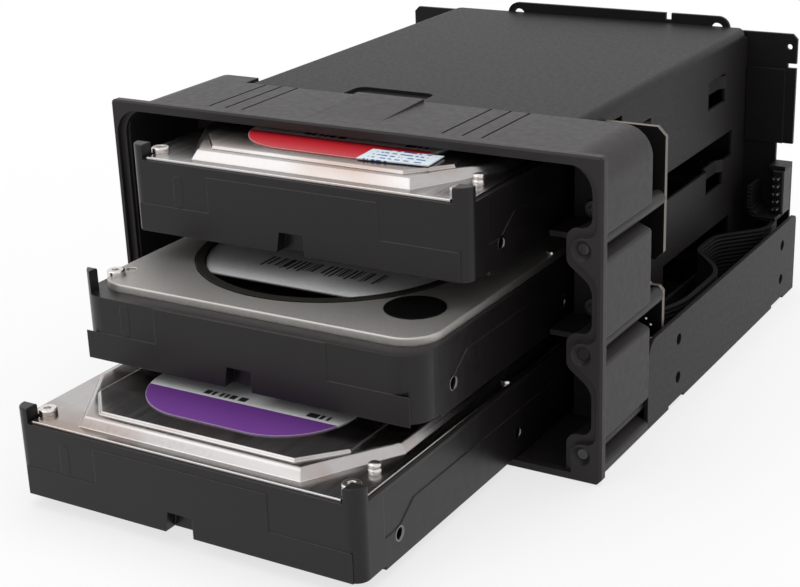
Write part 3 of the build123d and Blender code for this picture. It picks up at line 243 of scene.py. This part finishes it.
def grained(name, color, rough, grain=1500.0, depth=0.03 * mm, metal=0.0, highlight_gain=1.35, shine=0.5):
    """Moulded plastic, powder coat or steel: fine grain, and smoother edges with a painted
    highlight that makes them paler.
    """
    look = Shader(name, color, rough, metal)
    look.skin.inputs["Specular IOR Level"].default_value = shine
    edge = look.soft_edges()
    speck = look.span(look.noise(grain * 0.6, 3.0), 0.3, 0.7)
    darker = tuple(c * 0.94 for c in color)
    lighter = tuple(c * 1.06 for c in color)
    # Painted highlight: the colour on the rounded edges is the base colour made paler by a
    # factor.
    highlit_edge = tuple(min(c * highlight_gain, 1.0) for c in color)
    look.color(look.mix(edge, look.mix(speck, darker, lighter), highlit_edge))
    gloss = look.span(look.noise(grain * 0.3, 3.0), 0.3, 0.7, rough - 0.04, rough + 0.04)
    look.rough(look.math("SUBTRACT", gloss, look.math("MULTIPLY", edge, 0.08)))
    look.bump(look.noise(grain, 2.0), depth, 0.5)
    return look


def stepped_cover_look():
    """Bright pressed sheet: fine brushing, a painted highlight on the rounded edges and a warm
    cast in places.
    """
    look = Shader("cover_metal", (0.6, 0.58, 0.57), 0.2, 1.0)
    edge = look.soft_edges(0.5 * mm)
    lines = look.noise(1.0, 4.0, 0.6, (900.0, 14.0, 900.0))
    cast = look.span(look.noise(1.0, 2.0, 0.5, (22.0, 60.0, 60.0)), 0.45, 0.65)
    sheet = look.mix(cast, (0.48, 0.465, 0.46), (0.38, 0.30, 0.265))
    brushed = look.mix(look.span(lines, 0.3, 0.7, 0.12, 0.0), sheet, (0.2, 0.19, 0.18))
    # Painted highlight: the rounded edges are painted paler.
    look.color(look.mix(edge, brushed, (0.72, 0.69, 0.67)))
    look.rough(look.span(lines, 0.3, 0.7, 0.16, 0.26))
    look.bump(lines, 0.000006, 0.3)
    return look


def flat_cover_look():
    """Satin sheet, smooth, with a painted reflection of the dark drive above that darkens it
    inside the ring, and a painted highlight on its edges.
    """
    look = Shader("flat_cover_metal", (0.5, 0.48, 0.46), 0.4, 1.0)
    edge = look.soft_edges(0.4 * mm)
    ring_low, ring_high = corner("drive_middle_ring"), corner("drive_middle_ring", False)
    middle = (ring_low + ring_high) / 2
    across = look.math("SUBTRACT", look.axis(look.place, 0), middle.x)
    along = look.math("SUBTRACT", look.axis(look.place, 1), middle.y)
    away = look.distance(across, along)
    outside = look.math("GREATER_THAN", away, (ring_high.x - ring_low.x) / 2 - ring_width)
    grain = look.span(look.noise(1400.0, 3.0), 0.3, 0.7)
    satin = look.mix(grain, (0.52, 0.50, 0.48), (0.58, 0.56, 0.54))
    # Random darker streaks that run from front to back across the sheet.
    dark_streaks = look.span(look.noise(1.0, 2.0, 0.5, (40.0, 9.0, 40.0)), 0.35, 0.65, 0.0, 0.25)
    # Painted reflection: inside the ring the sheet is painted near black, as the reflection of
    # the dark drive above.
    sheet = look.mix(outside, (0.07, 0.07, 0.06), look.mix(dark_streaks, satin, (0.4, 0.39, 0.36)))
    # Painted highlight: the rounded edges are painted paler.
    look.color(look.mix(edge, sheet, (0.8, 0.77, 0.75)))
    duller = look.math("MULTIPLY", outside, 0.4)
    look.rough(look.math("ADD", duller, look.span(grain, 0.0, 1.0, 0.1, 0.16)))
    look.bump(look.noise(1400.0, 2.0), 0.000004, 0.3)
    return look


def board_look(name, face, edge, index):
    """Circuit board: masked faces along one axis, bare laminate on the edges."""
    look = Shader(name, face, 0.38)
    across = look.math("ABSOLUTE", look.axis(look.facing, index))
    fibres = look.span(look.noise(1800.0, 3.0), 0.3, 0.7, 0.75, 1.1)
    tint = look.mix(fibres, tuple(c * 0.7 for c in edge), edge)
    look.color(look.mix(look.math("GREATER_THAN", across, 0.6), tint, face))
    look.bump(look.noise(700.0, 2.0), 0.00002, 0.4)
    return look


def rows(look, value, pitch, share):
    """1 on stripes of the given pitch along value, 0 between them."""
    step = look.math("FRACT", look.math("DIVIDE", value, pitch))
    return look.math("LESS_THAN", step, share)


def paper_tone(look):
    """Pale paper with a faint fibre."""
    fibre = look.span(look.noise(900.0, 3.0), 0.35, 0.65)
    return look.mix(fibre, (0.86, 0.865, 0.87), (0.92, 0.92, 0.93))


def bars(look, scale, share):
    """1 on upright printed bars, 0 between them; a higher share prints fewer."""
    return look.math("GREATER_THAN", look.noise(1.0, 0.0, 0.5, (scale, 0.0, 0.0)), share)


def label_look(name, node, tone):
    """Paper label: a coloured field at its front, then a pale band with plain printed dashes."""
    look = Shader(name, (0.7, 0.7, 0.72), 0.36)
    low, high = corner(node), corner(node, False)
    across = look.axis(look.place, 0)
    depth = look.axis(look.place, 1)
    paper = paper_tone(look)
    rim = look.soft_edges()
    field_end = low.y + field_length
    field = look.math("LESS_THAN", depth, field_end)
    deeper = tuple(c * 0.82 for c in tone)
    grain = look.span(look.noise(2600.0, 2.0), 0.35, 0.65)
    print_row = look.band(depth, field_end + print_start, field_end + print_end)
    left_words = look.band(across, low.x + left_print[0], low.x + left_print[1])
    right_words = look.band(across, high.x - right_print[0], high.x - right_print[1])
    words = look.math("MAXIMUM", left_words, right_words)
    ink = look.both(look.both(print_row, words), bars(look, 650.0, 0.46))
    printed = look.mix(ink, paper, dark_ink)
    face = look.mix(field, printed, look.mix(grain, deeper, tone))
    look.color(look.mix(rim, face, (0.8, 0.8, 0.82)))
    look.bump(look.noise(paper_grain, 2.0), paper_relief, 0.3)
    return look


painted = {"grain": 2600.0, "depth": 0.05 * mm, "shine": 0.17}

looks = {
    "bezel": grained("bezel_plastic", (0.031, 0.0275, 0.0285), 0.42, highlight_gain=1.8, shine=0.17),
    "box": grained("box_paint", (0.014, 0.0122, 0.0128), 0.50, **painted),
    "tray": grained("tray_paint", (0.0165, 0.0142, 0.0155), 0.48, **painted),
    "plate": grained("plate_paint", (0.0088, 0.009, 0.0088), 0.45, grain=2200.0, shine=0.15),
    "rail": grained("rail_plastic", (0.006, 0.006, 0.006), 0.45, shine=0.2),
    "case": grained(
        "case_coat", (0.0115, 0.0098, 0.0102), 0.34, grain=1100.0, highlight_gain=4.5, shine=0.3
    ),
    "fan": grained("fan_plastic", (0.014, 0.014, 0.014), 0.42),
    "connector": grained("connector_plastic", (0.008, 0.008, 0.008), 0.4, shine=0.25),
    "foam": grained(
        "foam", (0.012, 0.0112, 0.009), 0.8, grain=1900.0, depth=0.4 * mm, highlight_gain=4.0, shine=0.2
    ),
    "spot": grained("spot_film", (0.002, 0.002, 0.002), 0.4, shine=0.1),
    "screw": grained("screw_steel", (0.16, 0.157, 0.153), 0.35, metal=1.0),
    "black_screw": grained("black_screw", (0.04, 0.04, 0.04), 0.35, metal=0.6),
    "bright_screw": grained("bright_screw", (0.72, 0.69, 0.67), 0.24, metal=1.0, highlight_gain=1.2),
    "rim": grained("hole_rim", (0.2, 0.195, 0.19), 0.3, metal=1.0, highlight_gain=2.5),
    "cover": stepped_cover_look(),
    "flat_cover": flat_cover_look(),
    "lamp": grained("lamp_lens", (0.03, 0.03, 0.031), 0.12),
    "board": board_look("lamp_board", (0.004, 0.004, 0.004), (0.12, 0.095, 0.07), 1),
    "circuit": board_look("drive_circuit", (0.01, 0.05, 0.025), (0.4, 0.36, 0.2), 2),
}


def ribbon_look():
    """Ribbed flat cable: one ridge for each conductor along its length."""
    look = Shader("ribbon_cable", (0.01, 0.01, 0.011), 0.5)
    look.skin.inputs["Specular IOR Level"].default_value = 0.2
    phase = look.math("MULTIPLY", look.axis(look.place, 2), math.pi / conductor_pitch)
    ridge = look.math("ABSOLUTE", look.math("SINE", phase))
    # Painted shade: the grooves between the ridges are painted darker than their crests.
    look.color(look.mix(ridge, (0.003, 0.003, 0.003), (0.014, 0.014, 0.0145)))
    look.bump(ridge, 0.3 * mm, 0.7)
    return look


looks["ribbon"] = ribbon_look()
looks["label_low"] = label_look("label_low", "drive_low_label", (0.19, 0.055, 0.32))
looks["label_top"] = label_look("label_top", "drive_top_label", (0.56, 0.018, 0.03))


def barcode_look():
    """White label with a row of plain upright bars."""
    look = Shader("label_middle", (0.7, 0.7, 0.72), 0.36)
    low = corner("drive_middle_label")
    across = look.axis(look.place, 0)
    depth = look.axis(look.place, 1)
    short_row = look.band(depth, low.y + bars_start, low.y + bars_end)
    tall_row = look.band(depth, low.y + tall_bars_start, low.y + bars_end)
    inside = look.band(across, bars_left, bars_right)
    printed = bars(look, 1300.0, 0.5)
    tall = bars(look, 420.0, 0.55)
    row = look.math("MAXIMUM", short_row, look.both(tall_row, tall))
    ink = look.both(look.both(row, inside), printed)
    look.color(look.mix(ink, paper_tone(look), (0.02, 0.02, 0.02)))
    look.bump(look.noise(paper_grain, 2.0), paper_relief, 0.3)
    return look


def tag_look():
    """Small white tag with blue ruled lines."""
    look = Shader("date_tag", (0.8, 0.82, 0.84), 0.4)
    low, high = corner("drive_top_tag"), corner("drive_top_tag", False)
    across = look.axis(look.place, 0)
    depth = look.axis(look.place, 1)
    lines = rows(look, depth, tag_line_pitch, 0.35)
    inside = look.band(across, low.x + tag_margin, high.x - tag_margin)
    dots = look.math("GREATER_THAN", look.noise(1.0, 1.0, 0.5, (900.0, 200.0, 0.0)), 0.47)
    ink = look.both(look.both(lines, inside), dots)
    look.color(look.mix(ink, (0.72, 0.8, 0.86), (0.03, 0.1, 0.3)))
    look.bump(look.noise(paper_grain, 2.0), paper_relief, 0.3)
    return look


looks["label_middle"] = barcode_look()
looks["tag"] = tag_look()

look_nodes = {
    "bezel": ["bezel"],
    "lamp": ["light_pipes", "board_lamps"],
    "box": ["box_shell", "box_tabs"],
    "tray": ["base_tray"],
    "plate": ["rear_plate"],
    "rail": ["rails_low", "rails_middle", "rails_top"],
    "board": ["upper_board", "lower_board", "backplane"],
    "screw": ["bezel_screws", "board_screws", "backplane_posts", "header_pins"],
    "black_screw": ["plate_screws", "tray_screws", "foot_screws", "fan_screws"],
    "bright_screw": [f"{drive}_screws" for drive in drives] + ["drive_low_pin", "drive_top_pin"],
    "connector": ["drive_sockets", "data_outlets", "power_inlet", "cable_header"]
    + [f"{drive}_plug" for drive in drives],
    "ribbon": ["ribbon_cable"],
    "fan": ["fan_frame", "fan_guard", "fan_rotor"],
    "case": [f"{drive}_case" for drive in drives],
    "cover": ["drive_low_cover", "drive_top_cover"],
    "flat_cover": ["drive_middle_cover"],
    "circuit": [f"{drive}_circuit" for drive in drives],
    "foam": ["drive_middle_ring"],
    "spot": ["drive_middle_spot"],
    "tag": ["drive_top_tag"],
    "label_low": ["drive_low_label"],
    "label_middle": ["drive_middle_label"],
    "label_top": ["drive_top_label"],
}


def dress(name, look):
    """Give a CAD node its material."""
    slots = nodes[name].material_slots
    for slot in slots:
        slot.material = looks[look].material
    if not slots:
        nodes[name].data.materials.append(looks[look].material)


for look, names in look_nodes.items():
    for name in names:
        dress(name, look)


# Pieces that the solids leave out


def add_piece(name, mesh_builder, look, body):
    """Turn a finished bmesh into an object that rides on a body."""
    mesh = bpy.data.meshes.new(name)
    mesh_builder.to_mesh(mesh)
    mesh_builder.free()
    piece = bpy.data.objects.new(name, mesh)
    bpy.context.scene.collection.objects.link(piece)
    mesh.materials.append(looks[look].material)
    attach(piece, body)
    return piece


def turned(builder, profile, centre, along, steps=32):
    """Add a ring to a bmesh: (radius, depth) pairs in mm turned round an axis through centre."""
    along = Vector(along)
    side = along.orthogonal().normalized()
    other = along.cross(side)
    rings = []
    for radius, depth in profile:
        ring = []
        for step in range(steps):
            angle = 2 * math.pi * step / steps
            out = math.cos(angle) * side + math.sin(angle) * other
            place = Vector(centre) + out * (radius * mm) + along * (depth * mm)
            ring.append(builder.verts.new(place))
        rings.append(ring)
    for first, second in zip(rings, rings[1:]):
        for step in range(steps):
            after = (step + 1) % steps
            face = builder.faces.new((first[step], first[after], second[after], second[step]))
            face.smooth = True


# Rim and thread of each hole in the sides of the drives
thread_profile = list(rim_profile)
for turn in range(thread_turns):
    for radius, depth in (thread_root, thread_crest):
        thread_profile.append((radius, depth - thread_pitch * turn))
for drive in drives:
    low, high = corner(f"{drive}_case"), corner(f"{drive}_case", False)
    rims = bmesh.new()
    for front in hole_fronts:
        for x, out in ((low.x, -1), (high.x, 1)):
            turned(rims, thread_profile, (x, low.y + front, low.z + hole_rise), (out, 0, 0))
    add_piece(f"{drive}_hole_rims", rims, "rim", drive)

# Press pins of the stepped covers
for drive in ("drive_low", "drive_top"):
    low, high = corner(f"{drive}_pin"), corner(f"{drive}_pin", False)
    pin = bmesh.new()
    turned(pin, pin_profile, ((low.x + high.x) / 2, (low.y + high.y) / 2, low.z), (0, 0, 1))
    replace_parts(add_piece(f"{drive}_press_pin", pin, "bright_screw", drive), f"{drive}_pin")

# Skirts that carry the ears of the rear plate down to the tray
skirts = bmesh.new()
plate_high = corner("rear_plate", False)
for side in (-1, 1):
    ends = sorted((side * skirt_inner, side * plate_high.x))
    middle = ((ends[0] + ends[1]) / 2, plate_high.y - skirt_sheet / 2, skirt_middle)
    size = Matrix.Diagonal((ends[1] - ends[0], skirt_sheet, skirt_height, 1))
    bmesh.ops.create_cube(skirts, size=1, matrix=Matrix.Translation(middle) @ size)
bmesh.ops.bevel(skirts, geom=skirts.edges[:], offset=skirt_edge, segments=1, affect="EDGES")
add_piece("plate_skirts", skirts, "plate", "cage")

# Solder joints on the front of the lower lamp board
joints = bmesh.new()
board_front = corner("lower_board").y
for x, z in joint_places:
    turned(joints, joint_profile, (x * mm, board_front, z * mm), (0, 1, 0), joint_steps)
add_piece("board_joints", joints, "bright_screw", "cage")


# Stage, light and camera


def white_backdrop():
    """Floor that keeps the shadow and shows white to the camera and in reflections."""
    floor_mesh = bpy.data.meshes.new("floor")
    sides = ((-1, -1), (1, -1), (1, 1), (-1, 1))
    corners = [(x * floor_reach, y * floor_reach, 0) for x, y in sides]
    floor_mesh.from_pydata(corners, [], [(0, 1, 2, 3)])
    floor = bpy.data.objects.new("floor", floor_mesh)
    bpy.context.scene.collection.objects.link(floor)
    floor.location.z = cad_box[0][2] - floor_gap
    look = Shader("floor_paper", (0.93, 0.93, 0.93), 0.9)
    cloud = look.span(look.noise(4.0, 2.0), 0.3, 0.7)
    look.color(look.mix(cloud, (0.92, 0.92, 0.92), (0.94, 0.94, 0.94)))
    glow = look.add("ShaderNodeEmission")
    glow.inputs["Color"].default_value = (1, 1, 1, 1)
    away = look.distance(look.axis(look.place, 0), look.axis(look.place, 1))
    rays = look.add("ShaderNodeLightPath").outputs
    shown = look.math("MAXIMUM", rays["Is Camera Ray"], rays["Is Glossy Ray"])
    shown = look.math("MAXIMUM", shown, rays["Is Transmission Ray"])
    lifted = look.both(shown, look.span(away, 0.12, 0.5, 0.72, 1.0))
    blend = look.add("ShaderNodeMixShader")
    look.join(lifted, blend, 0)
    look.join(look.skin.outputs[0], blend, 1)
    look.join(glow.outputs[0], blend, 2)
    look.join(blend.outputs[0], look.tree.nodes["Material Output"], "Surface")
    floor_mesh.materials.append(look.material)


def world_light():
    """Even surroundings, plain white to the camera and in reflections."""
    world = bpy.data.worlds.new("studio")
    bpy.context.scene.world = world
    world.use_nodes = True
    tree = world.node_tree
    back = tree.nodes["Background"]
    back.inputs["Color"].default_value = (1, 1, 1, 1)
    rays = tree.nodes.new("ShaderNodeLightPath")
    seen = rays.outputs["Is Camera Ray"]
    for kind in ("Is Glossy Ray", "Is Transmission Ray"):
        either = tree.nodes.new("ShaderNodeMath")
        either.operation = "MAXIMUM"
        tree.links.new(seen, either.inputs[0])
        tree.links.new(rays.outputs[kind], either.inputs[1])
        seen = either.outputs[0]
    strength = tree.nodes.new("ShaderNodeMapRange")
    strength.inputs["To Min"].default_value = diffuse_sky
    strength.inputs["To Max"].default_value = 1.0
    tree.links.new(seen, strength.inputs["Value"])
    tree.links.new(strength.outputs[0], back.inputs["Strength"])


def area_light(name, place, target, size, power, mirrored):
    """Soft lamp that looks at a target; a mirrored one shows in metal and gloss."""
    lamp = bpy.data.lights.new(name, "AREA")
    lamp.shape = "RECTANGLE"
    lamp.size, lamp.size_y = size
    lamp.energy = power
    holder = bpy.data.objects.new(name, lamp)
    bpy.context.scene.collection.objects.link(holder)
    holder.location = place
    holder.rotation_euler = (Vector(target) - Vector(place)).to_track_quat("-Z", "Y").to_euler()
    holder.visible_glossy = mirrored


def photo_camera():
    """Camera at the photograph's angle."""
    ahead = Vector(
        (
            -math.sin(camera_yaw) * math.cos(camera_drop),
            math.cos(camera_yaw) * math.cos(camera_drop),
            -math.sin(camera_drop),
        )
    )
    right = Vector((math.cos(camera_yaw), math.sin(camera_yaw), 0))
    up = right.cross(ahead)
    turned_right = math.cos(camera_roll) * right + math.sin(camera_roll) * up
    turned_up = -math.sin(camera_roll) * right + math.cos(camera_roll) * up
    camera = bpy.data.cameras.new("camera")
    camera.sensor_width = sensor_width
    camera.lens = focal_share * sensor_width
    camera.clip_start = 0.01
    holder = bpy.data.objects.new("camera", camera)
    bpy.context.scene.collection.objects.link(holder)
    turn = Matrix((turned_right, turned_up, -ahead)).transposed().to_4x4()
    holder.matrix_world = Matrix.Translation(camera_place) @ turn
    bpy.context.scene.camera = holder


white_backdrop()
world_light()
for name, settings in lamps.items():
    area_light(name, *settings, mirrored=name == "key")
photo_camera()
bpy.context.scene.view_settings.view_transform = "Standard"
